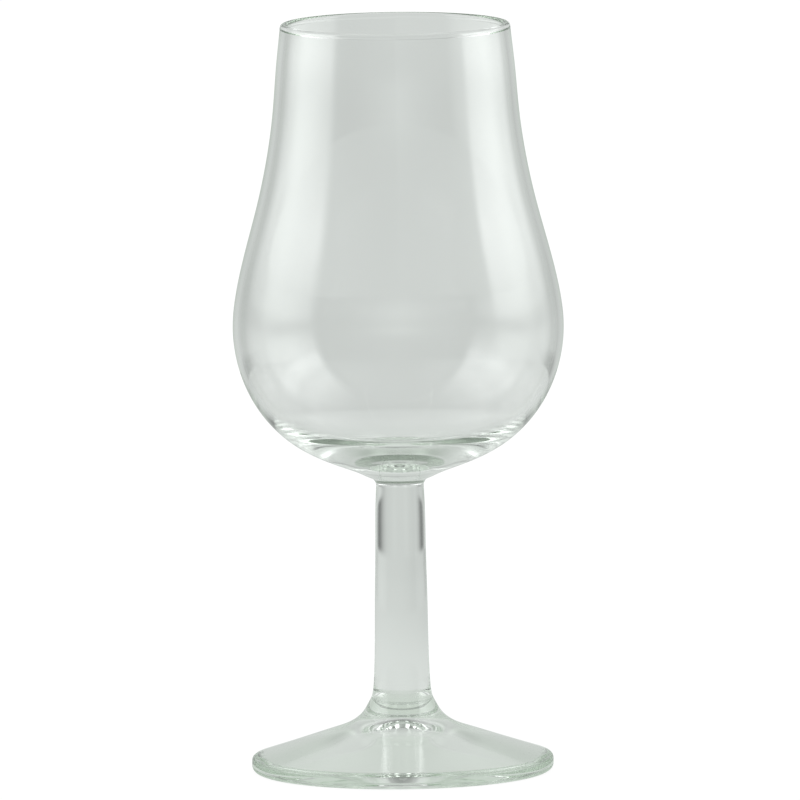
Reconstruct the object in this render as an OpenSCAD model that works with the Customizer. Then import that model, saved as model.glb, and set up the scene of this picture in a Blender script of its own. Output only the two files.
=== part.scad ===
// Stemmed nosing glass for whisky, 136 mm tall, free-blown and welded from three pieces:
// a tulip bowl with a thick floor and a fire-polished rim, a drawn stem and a pressed foot.
// All three are bodies of revolution on one axis. The origin is on the table, under the middle
// of the foot, and +Z runs up the axis.

/* [Bowl] */
// Height of the bowl, from its weld on the stem to the rim
bowl_h = 84; // [76:0.1:100]
// Outer diameter of the belly, the widest circle of the bowl
belly_d = 59.8; // [52:0.1:70]
// Height of the widest circle above the weld
belly_z = 28.5; // [24:0.1:34]
// Outer diameter of the rim
rim_d = 41.6; // [34:0.1:50]
// Thickness of the wall, from the belly up to the rim
wall_t = 1.1; // [0.8:0.05:1.8]
// How much thicker than the wall the bead along the rim is
bead_swell = 0.3; // [0.1:0.05:0.6]
// Height of the cup's floor above the weld, at the middle
floor_z = 6.8; // [5:0.1:10]
// Radius of the hollow corner where the bowl turns out of the stem
weld_r = 1.5; // [0.8:0.1:2.5]

/* [Stem] */
// Length of the stem between its two welds
stem_l = 38; // [25:0.5:60]
// Diameter of the stem at its weld to the bowl
neck_d = 8.6; // [6:0.1:11]
// Diameter of the stem at its weld to the foot
ankle_d = 10.8; // [8:0.1:14]

/* [Foot] */
// Height of the foot, from the table to its weld on the stem
foot_h = 14; // [10:0.1:20]
// Diameter of the foot
foot_d = 54.6; // [46:0.1:66]
// Height above the table at which the foot's cone reaches its rounded edge
edge_h = 3; // [2.4:0.1:4.5]
// Radius of the rounding along the edge's upper corner
edge_top_r = 0.9; // [0.5:0.05:1.1]
// Radius of the rounding along the edge's lower corner
edge_low_r = 1.3; // [0.5:0.05:1.4]
// Width of the flat ring that the glass stands on
rest_w = 1.6; // [1:0.1:4]
// Height of the hollow under the foot, at the middle
hollow_h = 7.8; // [5:0.1:8.6]

/* [Hidden] */

// Clear soda-lime glass, faintly green in the thick places
glass_tint = [0.80, 0.87, 0.83, 0.5];

// Facets round the axis, and points on each stretch of an outline and on each arc
$fn = 96;
curve_steps = 6;
arc_steps = 8;

// Half diameters
belly_r = belly_d / 2;
rim_r = rim_d / 2;
neck_r = neck_d / 2;
ankle_r = ankle_d / 2;
foot_r = foot_d / 2;

// Heights of the two welds above the table
foot_weld_z = foot_h;
bowl_weld_z = foot_h + stem_l;

// The rim's bead is round, with its outer side in line with the wall's
bead_r = (wall_t + bead_swell) / 2;
bead_x = rim_r - bead_r;
bead_z = bowl_h - bead_r;
// Angle past level at which the bead runs into the wall's inner face
bead_turn = acos((wall_t - bead_swell) / (wall_t + bead_swell));

// Angle that the hollow corner above the stem turns through
weld_turn = 70;
weld_end_x = neck_r + weld_r * (1 - cos(weld_turn));
weld_end_z = weld_r * sin(weld_turn);

// Outer outline of the bowl. Each pair is a share of the way out and a share of the way up:
// under the belly from the hollow corner to the widest circle, above it from the rim's radius
// out to the belly's and from the widest circle up to the bead
under_shares = [[0.08, 0.033], [0.22, 0.083], [0.4, 0.15], [0.58, 0.245], [0.74, 0.377],
    [0.86, 0.53], [0.945, 0.705], [0.988, 0.87], [1, 1]];
over_shares = [[0.93, 0.122], [0.72, 0.273], [0.48, 0.422], [0.29, 0.57], [0.16, 0.722],
    [0.085, 0.87], [0, 1]];

// Inner outline under the belly: shares of the way out from the axis to the inner face of the
// belly, and of the way up from the middle of the floor
floor_shares = [[0, 0], [0.22, 0.015], [0.43, 0.059], [0.62, 0.125], [0.7, 0.173], [0.78, 0.26],
    [0.84, 0.354], [0.9, 0.48], [0.94, 0.595], [0.97, 0.717], [0.99, 0.845], [1, 1]];

// Outline of the stem: shares of the way out from the neck's radius to the ankle's, and of the
// way up from the foot
stem_shares = [[1, 0], [0.72, 0.07], [0.54, 0.2], [0.42, 0.45], [0.25, 0.7], [0.12, 0.93], [0, 1]];

// Top of the foot: shares of the way out from the ankle to the rounded edge, and of the way up
// from that edge to the weld
foot_shares = [[0, 1], [0.03, 0.87], [0.08, 0.71], [0.19, 0.54], [0.37, 0.405], [0.65, 0.222],
    [1, 0]];
// Slope of the foot's cone where it meets the rounded edge
edge_lean = 18;

// Hollow under the foot, a cone with a blunt tip. Share of its radius that the tip takes, and the
// power that bends its flank, where 1 would keep it straight.
hollow_tip = 0.1;
hollow_power = 0.8;
hollow_steps = 16;

// Places given as shares, between two radii and between two heights
function placed(shares, x_from, x_to, z_from, z_to) =
    [for (s = shares) [x_from + s[0] * (x_to - x_from), z_from + s[1] * (z_to - z_from)]];

// Point at share t of the way from b to c, on the curve that passes a, b, c and d in turn
function between(a, b, c, d, t) =
    (2 * b + (c - a) * t + (2 * a - 5 * b + 4 * c - d) * t * t
        + (3 * b - a - 3 * c + d) * t * t * t) / 2;

// Smooth curve through all the knots. Past each end it runs on as if mirrored in the end knot.
function smooth(knots) =
    let (last = len(knots) - 1,
        all = concat([2 * knots[0] - knots[1]], knots, [2 * knots[last] - knots[last - 1]]))
    concat([for (i = [0 : last - 1], k = [0 : curve_steps - 1])
        between(all[i], all[i + 1], all[i + 2], all[i + 3], k / curve_steps)], [knots[last]]);

// Arc about x, z from one angle to another, where 0 degrees points away from the axis
function arc(x, z, r, from, to) =
    [for (k = [0 : arc_steps]) let (a = from + (to - from) * k / arc_steps)
        [x + r * cos(a), z + r * sin(a)]];

// All points but the first, for a curve that starts where another one ends
function rest_of(points) = [for (i = [1 : len(points) - 1]) points[i]];

// How far the hollow has come down at a share of its radius, in any unit
function fall(share) = pow(share * share + hollow_tip * hollow_tip, hollow_power / 2);

// Outline turned about the axis
module turned(points) {
    rotate_extrude()
        polygon(points);
}

// The bowl stands on its weld. The outline runs up outside, over the bead and down inside.
module bowl() {
    corner = arc(neck_r + weld_r, 0, weld_r, 180, 180 - weld_turn);
    outside = smooth(concat([[weld_end_x, weld_end_z]],
        placed(under_shares, weld_end_x, belly_r, weld_end_z, belly_z),
        placed(over_shares, rim_r, belly_r, belly_z, bead_z)));
    bead = arc(bead_x, bead_z, bead_r, 0, 180 + bead_turn);
    bead_low_z = bead_z - bead_r * sin(bead_turn);
    // The inner face follows the outer one, a wall's thickness in, up to the bead
    inside = smooth(concat(
        placed(floor_shares, 0, belly_r - wall_t, floor_z, belly_z),
        placed(over_shares, rim_r - wall_t, belly_r - wall_t, belly_z, bead_low_z)));
    inside_down = [for (i = [len(inside) - 2 : -1 : 0]) inside[i]];
    color(glass_tint)
        translate([0, 0, bowl_weld_z])
            turned(concat([[0, 0]], corner, rest_of(outside), rest_of(bead), inside_down));
}

// The stem is solid and thins a little from the foot to the bowl
module stem() {
    side = smooth(placed(stem_shares, neck_r, ankle_r, 0, stem_l));
    color(glass_tint)
        translate([0, 0, foot_weld_z])
            turned(concat([[0, 0]], side, [[0, stem_l]]));
}

// The foot is a low cone that sweeps up into the stem, hollow underneath and rounded at its edge
module foot() {
    edge_top_z = edge_h - edge_top_r * cos(edge_lean);
    edge_x = foot_r - edge_top_r + edge_top_r * sin(edge_lean);
    top = smooth(placed(foot_shares, ankle_r, edge_x, edge_h, foot_h));
    upper_corner = arc(foot_r - edge_top_r, edge_top_z, edge_top_r, 90 - edge_lean, 0);
    lower_corner = arc(foot_r - edge_low_r, edge_low_r, edge_low_r, 0, -90);
    rest_r = foot_r - edge_low_r - rest_w;
    // Steps along the hollow are short near its tip, where it bends most
    underside = [for (k = [hollow_steps : -1 : 0]) let (share = pow(k / hollow_steps, 1.4))
        [rest_r * share, hollow_h * (fall(1) - fall(share)) / (fall(1) - fall(0))]];
    color(glass_tint)
        turned(concat([[0, foot_h]], top, rest_of(upper_corner), lower_corner, underside));
}

bowl();
stem();
foot();
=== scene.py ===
# Looks of the stemmed nosing glass: clear soda-lime glass in a pale studio with two side softboxes.
# Lengths are in metres and angles in degrees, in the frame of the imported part.
import math

import bpy
import numpy as np
from mathutils import Matrix, Vector


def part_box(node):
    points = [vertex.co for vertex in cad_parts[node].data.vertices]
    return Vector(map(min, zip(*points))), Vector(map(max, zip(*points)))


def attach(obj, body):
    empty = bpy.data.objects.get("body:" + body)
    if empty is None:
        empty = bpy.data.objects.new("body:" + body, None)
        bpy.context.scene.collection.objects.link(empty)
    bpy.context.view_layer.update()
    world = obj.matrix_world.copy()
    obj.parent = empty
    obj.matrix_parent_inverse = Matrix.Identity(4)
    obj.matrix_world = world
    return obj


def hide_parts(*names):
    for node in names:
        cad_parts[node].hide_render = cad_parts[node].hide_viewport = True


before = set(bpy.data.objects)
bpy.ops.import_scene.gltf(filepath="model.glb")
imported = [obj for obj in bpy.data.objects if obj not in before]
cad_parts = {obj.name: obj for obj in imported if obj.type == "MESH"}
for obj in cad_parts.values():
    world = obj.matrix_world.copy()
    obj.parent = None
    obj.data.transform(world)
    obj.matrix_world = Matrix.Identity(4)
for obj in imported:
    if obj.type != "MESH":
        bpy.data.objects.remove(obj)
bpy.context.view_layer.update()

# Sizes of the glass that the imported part's boxes don't give. The bead along the rim is a little
# thinner than the part's, so that its edges look almost as faint as the real ones.
RIM_R = 0.0208
NECK_R = 0.0043
WALL = 0.0011
BEAD_R = 0.00066
FLOOR_Z = 0.0068
BELLY_Z = 0.0285
CORNER_R = 0.0015
CORNER_TURN = 70
EDGE_Z = 0.003
EDGE_TOP_R = 0.0009
EDGE_LOW_R = 0.0013
EDGE_LEAN = 18
REST_W = 0.0016
HOLLOW_H = 0.0078
HOLLOW_TIP = 0.1
HOLLOW_POWER = 0.8

# Shares of the way out and of the way up, as the part's outlines have them
UNDER_SHARES = ((0.08, 0.033), (0.22, 0.083), (0.4, 0.15), (0.58, 0.245), (0.74, 0.377),
                (0.86, 0.53), (0.945, 0.705), (0.988, 0.87), (1, 1))
OVER_SHARES = ((0.93, 0.122), (0.72, 0.273), (0.48, 0.422), (0.29, 0.57), (0.16, 0.722),
               (0.085, 0.87))
FLOOR_SHARES = ((0, 0), (0.22, 0.015), (0.43, 0.059), (0.62, 0.125), (0.7, 0.173), (0.78, 0.26),
                (0.84, 0.354), (0.9, 0.48), (0.94, 0.595), (0.97, 0.717), (0.99, 0.845), (1, 1))
STEM_SHARES = ((1, 0), (0.72, 0.07), (0.54, 0.2), (0.42, 0.45), (0.25, 0.7), (0.12, 0.93), (0, 1))
FOOT_SHARES = ((0, 1), (0.03, 0.87), (0.08, 0.71), (0.19, 0.54), (0.37, 0.405), (0.65, 0.222),
               (1, 0))

# Ways that the outlines run at their ends, where 0 is away from the axis and 90 is up. The wall
# meets the bead's circle at BEAD_START and runs square to the circle's radius there.
BEAD_START = 6
INSIDE_TOP_WAY = 95
STEM_LOW_WAY = 102
STEM_TOP_WAY = 93
FOOT_TOP_WAY = -78

bowl_low, bowl_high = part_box("bowl")
stem_low, stem_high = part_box("stem")
foot_low, foot_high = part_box("foot")
BELLY_R = bowl_high.x
WELD_Z = bowl_low.z
BOWL_H = bowl_high.z - bowl_low.z
ANKLE_R = stem_high.x
STEM_L = stem_high.z - stem_low.z
FOOT_R = foot_high.x
FOOT_H = foot_high.z

# Facets round the axis, the length of a step along an outline, how many times shorter it is on an
# arc, and the fewest steps on an arc and on a curve
SEGMENTS = 192
STEP = 0.0005
ARC_FINENESS = 3
ARC_LEAST = 6
CURVE_LEAST = 8
# Points along the hollow under the foot, and the power that crowds them towards its tip
HOLLOW_POINTS = 90
HOLLOW_CROWDING = 1.4
# The lower face of a piece that stands on a weld is lifted by this, so that no two faces coincide
WELD_GAP = 0.000004


def placed(shares, x_from, x_to, z_from, z_to):
    """Points between two radii and two heights, from shares of the way."""
    s = np.array(shares, float)
    return np.column_stack([x_from + s[:, 0] * (x_to - x_from), z_from + s[:, 1] * (z_to - z_from)])


def towards(angle):
    """Unit step in the outline's plane, where 0 degrees points away from the axis."""
    return np.array([math.cos(math.radians(angle)), math.sin(math.radians(angle))])


def arc(x, z, r, start, end):
    """Points on a circle about x, z: centre plus r times (cos a, sin a), a from start to end."""
    steps = max(ARC_LEAST, int(abs(math.radians(end - start)) * r / STEP * ARC_FINENESS))
    a = np.radians(np.linspace(start, end, steps + 1))
    return np.column_stack([x + r * np.cos(a), z + r * np.sin(a)])


def smooth(knots, start, end):
    """Cubic spline through the knots, with steady curvature and the two given end directions.

    The parameter is the distance from knot to knot. The slopes solve the spline's three-term
    equations, and each stretch is the Hermite cubic of its two ends."""
    p = np.array(knots, float)
    h = np.linalg.norm(np.diff(p, axis=0), axis=1)
    n = len(p)
    system = np.eye(n)
    right = np.zeros((n, 2))
    right[0] = start
    right[-1] = end
    i = np.arange(1, n - 1)
    system[i, i - 1] = h[1:]
    system[i, i] = 2 * (h[:-1] + h[1:])
    system[i, i + 1] = h[:-1]
    chord = np.diff(p, axis=0) / h[:, None]
    right[1:-1] = 3 * (h[1:, None] * chord[:-1] + h[:-1, None] * chord[1:])
    d = np.linalg.solve(system, right)
    at = np.concatenate([[0], np.cumsum(h)])
    s = np.linspace(0, at[-1], max(CURVE_LEAST, int(at[-1] / STEP)) + 1)
    k = np.clip(np.searchsorted(at, s, side="right") - 1, 0, n - 2)
    t = ((s - at[k]) / h[k])[:, None]
    step = h[k][:, None]
    return ((2 * t**3 - 3 * t**2 + 1) * p[k] + (t**3 - 2 * t**2 + t) * step * d[k]
            + (3 * t**2 - 2 * t**3) * p[k + 1] + (t**3 - t**2) * step * d[k + 1])


def turned(name, outline, material, welds=(), corners=()):
    """Closed body of revolution: at share s and angle a the point is r(s) cos a, r(s) sin a, z(s).

    The outline runs from axis to axis with the glass on its left, its first and last point being
    the poles. The face attribute "weld" is 1 on the flat ends that are named in welds. The circles
    round these, and round the points of the outline that are counted in corners, stay sharp."""
    a = np.arange(SEGMENTS) * (2 * math.pi / SEGMENTS)
    ring = outline[1:-1]
    x = ring[:, :1] * np.cos(a)
    y = ring[:, :1] * np.sin(a)
    z = np.repeat(ring[:, 1:], SEGMENTS, axis=1)
    points = np.column_stack([x.ravel(), y.ravel(), z.ravel()])
    first = len(points)
    last = first + 1
    points = np.vstack([points, [0, 0, outline[0, 1]], [0, 0, outline[-1, 1]]])
    i = np.arange(len(ring) - 1)[:, None] * SEGMENTS
    j = np.arange(SEGMENTS)[None, :]
    k = (j + 1) % SEGMENTS
    quads = np.stack([i + j, i + k, i + SEGMENTS + k, i + SEGMENTS + j], axis=-1).reshape(-1, 4)
    end = (len(ring) - 1) * SEGMENTS
    start_fan = np.column_stack([np.full(SEGMENTS, first), k[0], j[0]])
    end_fan = np.column_stack([np.full(SEGMENTS, last), end + j[0], end + k[0]])
    faces = start_fan.tolist() + quads.tolist() + end_fan.tolist()
    mesh = bpy.data.meshes.new(name)
    mesh.from_pydata(points.tolist(), [], faces, shade_flat=False)
    # The first and the last faces are the fans round the poles
    weld = np.zeros(len(mesh.polygons), np.float32)
    if "start" in welds:
        weld[:SEGMENTS] = 1
    if "end" in welds:
        weld[-SEGMENTS:] = 1
    mesh.attributes.new("weld", "FLOAT", "FACE").data.foreach_set("value", weld)
    # An edge lies on a circle if both its ends do. Circle 0 is that of the outline's second point.
    ends = np.zeros(len(mesh.edges) * 2, np.int32)
    mesh.edges.foreach_get("vertices", ends)
    circle = ends.reshape(-1, 2) // SEGMENTS
    circles = [c - 1 for c in corners]
    circles += [0] if "start" in welds else []
    circles += [len(ring) - 1] if "end" in welds else []
    sharp = (circle[:, 0] == circle[:, 1]) & np.isin(circle[:, 0], circles)
    mesh.attributes.new("sharp_edge", "BOOLEAN", "EDGE").data.foreach_set("value", sharp)
    mesh.materials.append(material)
    mesh.validate()
    mesh.update()
    piece = bpy.data.objects.new(name, mesh)
    bpy.context.scene.collection.objects.link(piece)
    return piece


class Wire:
    """A socket of a shader tree. Expressions on values add Math nodes, and node() adds any other."""

    def __init__(self, tree, socket=None):
        self.tree = tree
        self.socket = socket

    def node(self, kind, settings=None, inputs=None, output=0):
        """New node with its settings, a ramp's stops among them, and then its inputs, by value or
        by wire. Gives the wire of one of its outputs."""
        made = self.tree.nodes.new(kind)
        for key, value in (settings or {}).items():
            if key == "stops":
                ramp = made.color_ramp.elements
                while len(ramp) < len(value):
                    ramp.new(1)
                for stop, (place, colour) in zip(ramp, value):
                    stop.position = place
                    stop.color = colour
            else:
                setattr(made, key, value)
        for key, value in (inputs or {}).items():
            if isinstance(value, Wire):
                self.tree.links.new(value.socket, made.inputs[key])
            else:
                made.inputs[key].default_value = value
        return Wire(self.tree, made.outputs[output] if made.outputs else None)

    def maths(self, operation, other=0):
        """Math node of this value and another one, which an operation on one value ignores."""
        return self.node("ShaderNodeMath", {"operation": operation}, {0: self, 1: other})

    def __add__(self, other):
        return self.maths("ADD", other)

    def __sub__(self, other):
        return self.maths("SUBTRACT", other)

    def __rsub__(self, other):
        return self.node("ShaderNodeMath", {"operation": "SUBTRACT"}, {0: other, 1: self})

    def __mul__(self, other):
        return self.maths("MULTIPLY", other)

    def __truediv__(self, other):
        return self.maths("DIVIDE", other)

    __radd__ = __add__
    __rmul__ = __mul__

    def bump(self, width):
        """Bell round 0: e to the power of minus (value / width) squared."""
        x = self / width
        return (0 - x * x).maths("EXPONENT")

    def between(self, low, high):
        """0 below low, 1 above high and a smooth step from one to the other."""
        return self.node("ShaderNodeMapRange", {"interpolation_type": "SMOOTHSTEP"},
                         {"Value": self, "From Min": low, "From Max": high})

    def along(self, stops):
        """Straight lines through stops, each a pair of a place and the level there."""
        low = stops[0][0]
        span = stops[-1][0] - low
        peak = max(level for _, level in stops)
        greys = []
        for place, level in stops:
            grey = level / peak
            greys.append(((place - low) / span, (grey, grey, grey, 1)))
        return self.node("ShaderNodeValToRGB", {"stops": greys}, {"Fac": (self - low) / span}) * peak

    def tint(self, first, second):
        """The first colour where the value is 0 and the second where it is 1. On a Mix node that
        mixes colours, inputs 6 and 7 are the two colours and output 2 is their mix."""
        return self.node("ShaderNodeMix", {"data_type": "RGBA"}, {0: self, 6: first, 7: second},
                         output=2)

    def place(self):
        """The three Object coordinates."""
        at = self.node("ShaderNodeTexCoord", output="Object")
        return [self.node("ShaderNodeSeparateXYZ", inputs={"Vector": at}, output=o) for o in "XYZ"]


def tree_of(thing):
    """Wire of the emptied node tree of a material or a world."""
    thing.use_nodes = True
    thing.node_tree.nodes.clear()
    return Wire(thing.node_tree)


# Soda-lime glass takes a little red and blue away over its length, so thick places look green.
# Per metre it takes TINT_DENSITY times one minus the colour.
TINT_DENSITY = 2.9
TINT = (0.2, 0.5, 0.18, 1)
GLASS_IOR = 1.52
# Colours of the light: of the tent and the table, of both where it has come through glass, and of
# the softboxes
GREY_TINT = (0.953, 1, 0.968, 1)
GREEN_TINT = (0.912, 1, 0.92, 1)
BOX_TINT = (0.985, 1, 1, 1)
WHITE = (1, 1, 1, 1)


def clear_glass():
    """Polished glass. At a weld light goes straight through, because two pieces are one glass there."""
    material = bpy.data.materials.new("clear_glass")
    tree = tree_of(material)
    weld = tree.node("ShaderNodeAttribute", {"attribute_name": "weld"}, output="Fac")
    surface = tree.node("ShaderNodeBsdfPrincipled", inputs={
        "Base Color": WHITE, "Roughness": 0.0, "IOR": GLASS_IOR, "Transmission Weight": 1.0,
        "Alpha": 1 - weld})
    inside = tree.node("ShaderNodeVolumeAbsorption", inputs={"Color": TINT, "Density": TINT_DENSITY})
    tree.node("ShaderNodeOutputMaterial", inputs={"Surface": surface, "Volume": inside})
    return material


def make_bowl(material):
    """Outside from the weld to the rim, over the bead and down the inside to the floor's middle."""
    corner = arc(NECK_R + CORNER_R, 0, CORNER_R, 180, 180 - CORNER_TURN)
    bead = np.array([RIM_R - BEAD_R, BOWL_H - BEAD_R])
    bead_turn = math.degrees(math.acos(WALL / BEAD_R - 1))
    bead_arc = arc(*bead, BEAD_R, BEAD_START, 180 + bead_turn)
    outside = smooth(np.vstack([
        corner[-1:], placed(UNDER_SHARES, corner[-1, 0], BELLY_R, corner[-1, 1], BELLY_Z),
        placed(OVER_SHARES, RIM_R, BELLY_R, BELLY_Z, bead[1]), bead_arc[:1]]),
        towards(90 - CORNER_TURN), towards(90 + BEAD_START))
    inside = smooth(np.vstack([
        placed(FLOOR_SHARES, 0, BELLY_R - WALL, FLOOR_Z, BELLY_Z),
        placed(OVER_SHARES, RIM_R - WALL, BELLY_R - WALL, BELLY_Z, bead_arc[-1, 1]),
        bead_arc[-1:]]), towards(0), towards(INSIDE_TOP_WAY))
    outline = np.vstack([[0, 0], corner, outside[1:], bead_arc[1:-1], inside[::-1]])
    outline[:, 1] += WELD_Z
    outline[:2, 1] += WELD_GAP
    bead_foot = len(outline) - len(inside)
    return turned("bowl_glass", outline, material, welds=("start",), corners=(bead_foot,))


def make_stem(material):
    """Solid rod, its side a smooth curve from the foot's weld up to the bowl's."""
    side = smooth(placed(STEM_SHARES, NECK_R, ANKLE_R, 0, STEM_L),
                  towards(STEM_LOW_WAY), towards(STEM_TOP_WAY))
    outline = np.vstack([[0, 0], side, [0, STEM_L]])
    outline[:, 1] += stem_low.z
    outline[:2, 1] += WELD_GAP
    return turned("stem_glass", outline, material, welds=("start", "end"))


def make_foot(material):
    """Cone from the weld out to the rounded edge, the flat ring that it stands on, and the hollow.

    The hollow falls from its tip as (share squared plus tip squared) to half of HOLLOW_POWER, where
    share is that of its radius, and its height is scaled to HOLLOW_H."""
    edge_x = FOOT_R - EDGE_TOP_R
    edge_z = EDGE_Z - EDGE_TOP_R * math.cos(math.radians(EDGE_LEAN))
    upper = arc(edge_x, edge_z, EDGE_TOP_R, 90 - EDGE_LEAN, 0)
    lower = arc(FOOT_R - EDGE_LOW_R, EDGE_LOW_R, EDGE_LOW_R, 0, -90)
    top = smooth(placed(FOOT_SHARES, ANKLE_R, upper[0, 0], upper[0, 1], FOOT_H),
                 towards(FOOT_TOP_WAY), towards(-EDGE_LEAN))
    rest_r = FOOT_R - EDGE_LOW_R - REST_W
    share = np.linspace(1, 0, HOLLOW_POINTS)**HOLLOW_CROWDING
    fall = (share**2 + HOLLOW_TIP**2)**(HOLLOW_POWER / 2)
    under = np.column_stack([rest_r * share, HOLLOW_H * (fall[0] - fall) / (fall[0] - fall[-1])])
    outline = np.vstack([[0, FOOT_H], top, upper[1:], lower, under])[::-1]
    return turned("foot_glass", outline, material, welds=("end",))


glass = clear_glass()
for node, make in (("bowl", make_bowl), ("stem", make_stem), ("foot", make_foot)):
    piece = make(glass)
    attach(piece, "root")
    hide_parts(node)

# The camera stands a long way off with a long lens, a little above the glass and rolled a little
CAMERA_DISTANCE = 4.08
CAMERA_ELEVATION = 6.65
CAMERA_ROLL = 0.62
CAMERA_NEAR = 0.1
CAMERA_FAR = 100
SENSOR_WIDTH = 36
PICTURE_SIDE = 800
PIXELS_PER_METRE = 5532
AIM = Vector((0.00018, 0, 0.0675))


def make_camera():
    """Camera in front of the glass, on the -Y side, that looks at AIM."""
    data = bpy.data.cameras.new("camera")
    data.sensor_width = SENSOR_WIDTH
    data.lens = PIXELS_PER_METRE * CAMERA_DISTANCE / PICTURE_SIDE * data.sensor_width
    data.clip_start = CAMERA_NEAR
    data.clip_end = CAMERA_FAR
    e = math.radians(CAMERA_ELEVATION)
    back = Vector((0, -math.cos(e), math.sin(e)))
    camera = bpy.data.objects.new("camera", data)
    turn = (-back).to_track_quat("-Z", "Y").to_matrix().to_4x4()
    camera.matrix_world = (Matrix.Translation(AIM + back * CAMERA_DISTANCE) @ turn
                           @ Matrix.Rotation(math.radians(-CAMERA_ROLL), 4, "Z"))
    bpy.context.scene.collection.objects.link(camera)
    bpy.context.scene.camera = camera


# The table's painted glow at the axis, its rise per metre to the right and to the back, its fall with
# the square of the distance from the axis, and the depth of the painted shadow under the foot, which
# ends between two of these squares
TABLE_LEVEL = 0.74
TABLE_TILT = (0.25, 0.33)
TABLE_FALL = 2.97
TABLE_PAINTED_SHADE = 0.06
PAINTED_FOOT_SHADE_FADE = (0.0007, 0.002)
# The camera sees the table's own white, and a shadow in its matt share
FLOOR_WHITE = 0.96
FLOOR_MATT = (0.08, 0.08, 0.08, 1)
FLOOR_SIDE = 8
FLOOR_DROP = 0.00002

# A light tent stands round the glass, a part of a ball on the table. Its glow is given by the turn,
# which is 0 at the front and 180 at the back, and by the elevation seen from the tent's middle.
TENT_R = 0.25
TENT_Z = 0.068
TENT_ROWS = 64
TENT_TURNS = 96
DEGREES_PER_RADIAN = 57.3

# The tent's left half is side 1 and its right half side -1. Each has a softbox from its front edge,
# which is soft, to the back. Its level is its rise, by elevation, times its sweep, by turn. The
# plain tent round it has its base, by turn, less a slot and a dark patch low down. In mirroring
# faces it also loses its share, dim, of the green patch.
SOFTBOXES = (
    {"side": 1, "edge": 61, "soft": 10.7, "slot": 0.31, "slot_at": 132, "dark": 0.26, "dim": 0.17,
     "rise": ((-14, 0.1), (-8, 0.3), (-1, 0.3), (6, 0), (14, 0.55), (18, 1), (22, 1.45), (27, 2.5),
              (32, 2.4), (37, 2), (44, 2.15), (54, 1.1), (68, 0.2)),
     "sweep": ((0, 1), (95, 0.9), (112, 0.6), (120, 0.7), (130, 0.2), (142, 0.11)),
     "base": ((0, 0.45), (30, 0.34), (50, 0.23), (62, 0.17), (75, 0.56), (95, 0.78), (115, 0.68),
              (145, 0.73), (158, 0.64), (172, 0.63), (180, 0.64))},
    {"side": -1, "edge": 69.5, "soft": 7.4, "slot": 0.14, "slot_at": 143, "dark": 0.31, "dim": 0.2,
     "rise": ((-14, 0.15), (-8, 0.35), (-1, 0.5), (6, 0.2), (14, 0.95), (18, 1.35), (22, 1.8),
              (27, 3.15), (32, 2.8), (37, 1.8), (44, 2.2), (54, 1.1), (68, 0)),
     "sweep": ((0, 1), (95, 0.9), (112, 0.6), (120, 0.7), (130, 0.3), (142, 0.08)),
     "base": ((0, 0.45), (30, 0.32), (50, 0.13), (62, 0.11), (75, 0.47), (95, 0.75), (115, 0.68),
              (130, 0.49), (145, 0.65), (158, 0.68), (172, 0.63), (180, 0.64))})
# How wide the slot is and the elevations between which it ends
SLOT_WIDTH = 15.3
SLOT_TOP = (13.7, 18.1)
# Turn and width of the dark patch, and the elevations between which it starts and ends
DARK_TURN = 134
DARK_WIDTH = 13
DARK_START = (-14.9, -14)
DARK_END = (-12, -8)
# Overhead the plain tent runs to one grey, between these elevations
OVERHEAD = (9.3, 41.2)
OVERHEAD_GREY = 0.293
# Soft patches: a level, and the middle and width of a bell in turn and of one in elevation
GREEN_PATCH = {"level": 1, "turn": (169, 9), "elevation": (5, 14)}
SIDE_DIP = {"level": 0.5, "turn": (98, 28), "elevation": (2.5, 4.6)}
FRONT_GLOW = {"level": 0.55, "turn": (0, 23.4), "elevation": (15.3, 4.7)}
BACK_GLOW = {"level": 0.24, "turn": (171.2, 4), "elevation": (10.4, 16)}
# Straight through the glass the tent is calmer. The front has one level as far as these turns, and
# no place is above the most.
CALM_FRONT = 0.64
CALM_FRONT_END = (75, 95)
CALM_MOST = 0.9
# Elevations between which the table's glow turns into the tent's
TENT_FOOT = (-15.1, -14.3)
# Light that has mirrored at least once has a glossy depth above this
MIRRORED_DEPTH = 0.5


def painted_foot_shade(off):
    """Painted shade of the foot on the table: 1 under the foot and 0 a little way past its edge, from
    the square of the distance from the axis."""
    return 1 - off.between(*PAINTED_FOOT_SHADE_FADE)


def table_glow(x, y):
    """Painted glow of the table: it tilts a little, falls off with distance and has a painted shadow
    under the foot.
    """
    off = x * x + y * y
    right, back = TABLE_TILT
    # The glow is lowered under the foot, as a painted shadow
    return TABLE_LEVEL + right * x + back * y - TABLE_FALL * off - TABLE_PAINTED_SHADE * painted_foot_shade(off)


def painted_table_tint(x, y):
    """Colour of the table's painted light, with a painted green shade under the foot, as if light there
    had come through glass.
    """
    return painted_foot_shade(x * x + y * y).tint(GREY_TINT, GREEN_TINT)


def patch(turn, elevation, spot):
    """The level of a soft patch times its bell of the turn and its bell of the elevation."""
    turn_at, turn_width = spot["turn"]
    height_at, height_width = spot["elevation"]
    across = (turn - turn_at).bump(turn_width)
    return spot["level"] * across * (elevation - height_at).bump(height_width)


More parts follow.
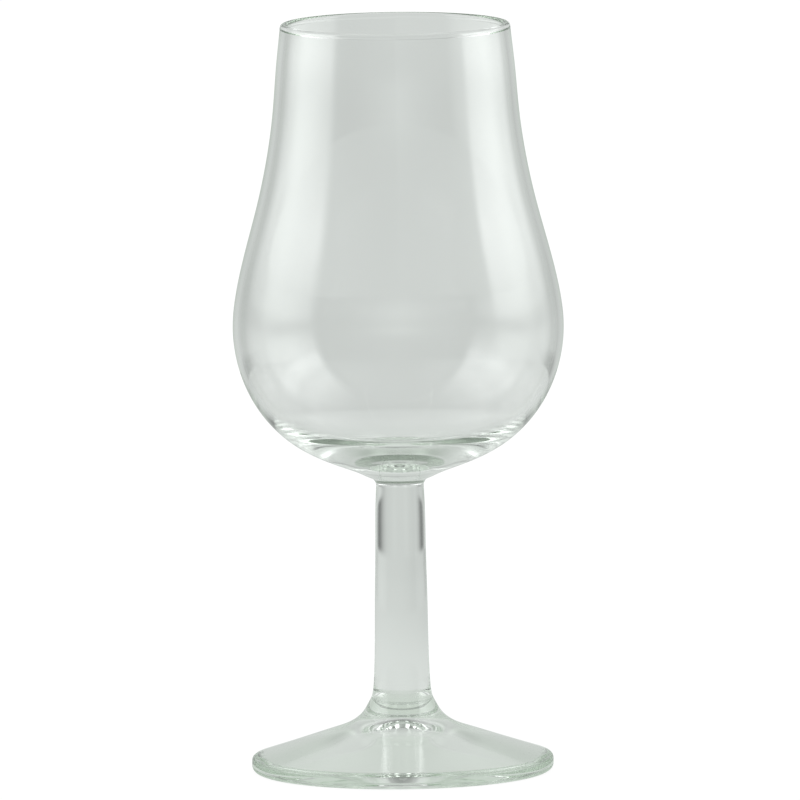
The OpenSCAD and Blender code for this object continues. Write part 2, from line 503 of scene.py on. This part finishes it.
def tent_glow(x, y, z):
    """Four things: the plain tent's glow and the softboxes' as mirroring faces show them, the calmer
    glow of both that is seen straight through the glass, and the colour of the first.

    The plain tent is each half's base, its slot and its dark patch, with the glows at the front and
    at the back. Mirroring faces show it less the side dip and the dim share of the green patch. At
    the tent's foot all of it turns into the table's glow."""
    elevation = ((z - TENT_Z) / TENT_R).maths("ARCSINE") * DEGREES_PER_RADIAN
    azimuth = (0 - x).maths("ARCTAN2", 0 - y) * DEGREES_PER_RADIAN
    turn = azimuth.maths("ABSOLUTE")
    overhead = elevation.between(*OVERHEAD)
    green = patch(turn, elevation, GREEN_PATCH)
    dim = patch(turn, elevation, SIDE_DIP)
    grey = 0
    boxes = 0
    for box in SOFTBOXES:
        here = (azimuth * box["side"]).maths("GREATER_THAN")
        edge = turn.between(box["edge"] - box["soft"] / 2, box["edge"] + box["soft"] / 2)
        plain = turn.along(box["base"])
        plain = plain + (OVERHEAD_GREY - plain) * overhead
        slot = box["slot"] * (1 - elevation.between(*SLOT_TOP))
        slot = slot * (turn - box["slot_at"]).bump(SLOT_WIDTH)
        dark = box["dark"] * (turn - DARK_TURN).bump(DARK_WIDTH)
        dark = dark * elevation.between(*DARK_START) * (1 - elevation.between(*DARK_END))
        grey = grey + here * (plain - slot - dark)
        boxes = boxes + here * edge * turn.along(box["sweep"]) * elevation.along(box["rise"])
        dim = dim + here * box["dim"] * green
    grey = grey + patch(turn, elevation, FRONT_GLOW)
    grey = grey + patch(turn, elevation, BACK_GLOW)
    calm = grey + boxes
    calm = calm + (CALM_FRONT - calm) * (1 - turn.between(*CALM_FRONT_END))
    calm = calm.maths("MINIMUM", CALM_MOST)
    tent = elevation.between(*TENT_FOOT)
    table = table_glow(x, y) * (1 - tent)
    colour = green.tint(GREY_TINT, GREEN_TINT)
    return table + (grey - dim) * tent, boxes * tent, table + calm * tent, colour


def tent_material():
    """Light of the tent, one for rays that a face has mirrored and a calmer one for all others."""
    material = bpy.data.materials.new("light_tent")
    tree = tree_of(material)
    grey, boxes, straight, colour = tent_glow(*tree.place())
    bounced = tree.node("ShaderNodeLightPath", output="Glossy Depth")
    bounced = bounced.maths("GREATER_THAN", MIRRORED_DEPTH)
    plain = tree.node("ShaderNodeEmission", inputs={"Color": colour, "Strength": grey})
    boxed = tree.node("ShaderNodeEmission", inputs={"Color": BOX_TINT, "Strength": boxes})
    mirrored = tree.node("ShaderNodeAddShader", inputs={0: plain, 1: boxed})
    calm = tree.node("ShaderNodeEmission", inputs={"Color": GREY_TINT, "Strength": straight})
    either = tree.node("ShaderNodeMixShader", inputs={0: bounced, 1: calm, 2: mirrored})
    tree.node("ShaderNodeOutputMaterial", inputs={"Surface": either})
    return material


def make_tent():
    """Ball without its lower part: at elevation e and azimuth a the point is r cos e cos a,
    r cos e sin a, middle plus r sin e. Its faces point inwards, to the glass."""
    lowest = math.asin(-TENT_Z / TENT_R)
    e = np.linspace(lowest, math.pi / 2, TENT_ROWS + 1)[:-1, None]
    a = np.arange(TENT_TURNS)[None, :] * (2 * math.pi / TENT_TURNS)
    x = TENT_R * np.cos(e) * np.cos(a)
    y = TENT_R * np.cos(e) * np.sin(a)
    z = np.repeat(TENT_Z + TENT_R * np.sin(e), TENT_TURNS, axis=1)
    points = np.vstack([np.column_stack([x.ravel(), y.ravel(), z.ravel()]), [0, 0, TENT_Z + TENT_R]])
    i = np.arange(TENT_ROWS - 1)[:, None] * TENT_TURNS
    j = np.arange(TENT_TURNS)[None, :]
    k = (j + 1) % TENT_TURNS
    quads = np.stack([i + j, i + TENT_TURNS + j, i + TENT_TURNS + k, i + k], axis=-1).reshape(-1, 4)
    end = (TENT_ROWS - 1) * TENT_TURNS
    cap = np.column_stack([end + j[0], np.full(TENT_TURNS, TENT_ROWS * TENT_TURNS), end + k[0]])
    mesh = bpy.data.meshes.new("light_tent")
    mesh.from_pydata(points.tolist(), [], quads.tolist() + cap.tolist())
    mesh.materials.append(tent_material())
    tent = bpy.data.objects.new("light_tent", mesh)
    tent.visible_camera = False
    tent.visible_diffuse = False
    tent.visible_shadow = False
    bpy.context.scene.collection.objects.link(tent)


def floor_material():
    """White table for the camera, with a faint shadow of the foot. In the glass it is a pale grey glow,
    painted with a green shadow of the foot.
    """
    material = bpy.data.materials.new("floor")
    tree = tree_of(material)
    x, y, _ = tree.place()
    direct = tree.node("ShaderNodeLightPath", output="Is Camera Ray")
    white = tree.node("ShaderNodeEmission", inputs={"Color": WHITE, "Strength": FLOOR_WHITE})
    matt = tree.node("ShaderNodeBsdfDiffuse", inputs={"Color": FLOOR_MATT})
    seen = tree.node("ShaderNodeAddShader", inputs={0: white, 1: matt})
    # In the glass the table shows its painted glow, with a painted green shadow under the foot
    pale = tree.node("ShaderNodeEmission", inputs={"Color": painted_table_tint(x, y),
                                                   "Strength": table_glow(x, y)})
    either = tree.node("ShaderNodeMixShader", inputs={0: direct, 1: pale, 2: seen})
    tree.node("ShaderNodeOutputMaterial", inputs={"Surface": either})
    return material


def make_floor():
    """Flat square just under the foot."""
    side = FLOOR_SIDE
    mesh = bpy.data.meshes.new("floor")
    mesh.from_pydata([(-side, -side, 0), (side, -side, 0), (side, side, 0), (-side, side, 0)], [],
                     [(0, 1, 2, 3)])
    mesh.materials.append(floor_material())
    floor = bpy.data.objects.new("floor", mesh)
    floor.location.z = foot_low.z - FLOOR_DROP
    bpy.context.scene.collection.objects.link(floor)


def make_world():
    """Plain white all round, for the camera and for the light on the floor."""
    world = bpy.data.worlds.new("studio")
    bpy.context.scene.world = world
    tree = tree_of(world)
    back = tree.node("ShaderNodeBackground", inputs={"Color": WHITE, "Strength": 1.0})
    tree.node("ShaderNodeOutputWorld", inputs={"Surface": back})


make_camera()
make_tent()
make_floor()
make_world()

# Light runs a long way inside thick glass, and passes few welds on its way
BOUNCES = 128
WELD_PASSES = 24

scene = bpy.context.scene
scene.view_settings.view_transform = "Standard"
scene.cycles.max_bounces = BOUNCES
scene.cycles.transmission_bounces = BOUNCES
scene.cycles.glossy_bounces = BOUNCES
scene.cycles.transparent_max_bounces = WELD_PASSES
scene.cycles.caustics_reflective = False
scene.cycles.caustics_refractive = False
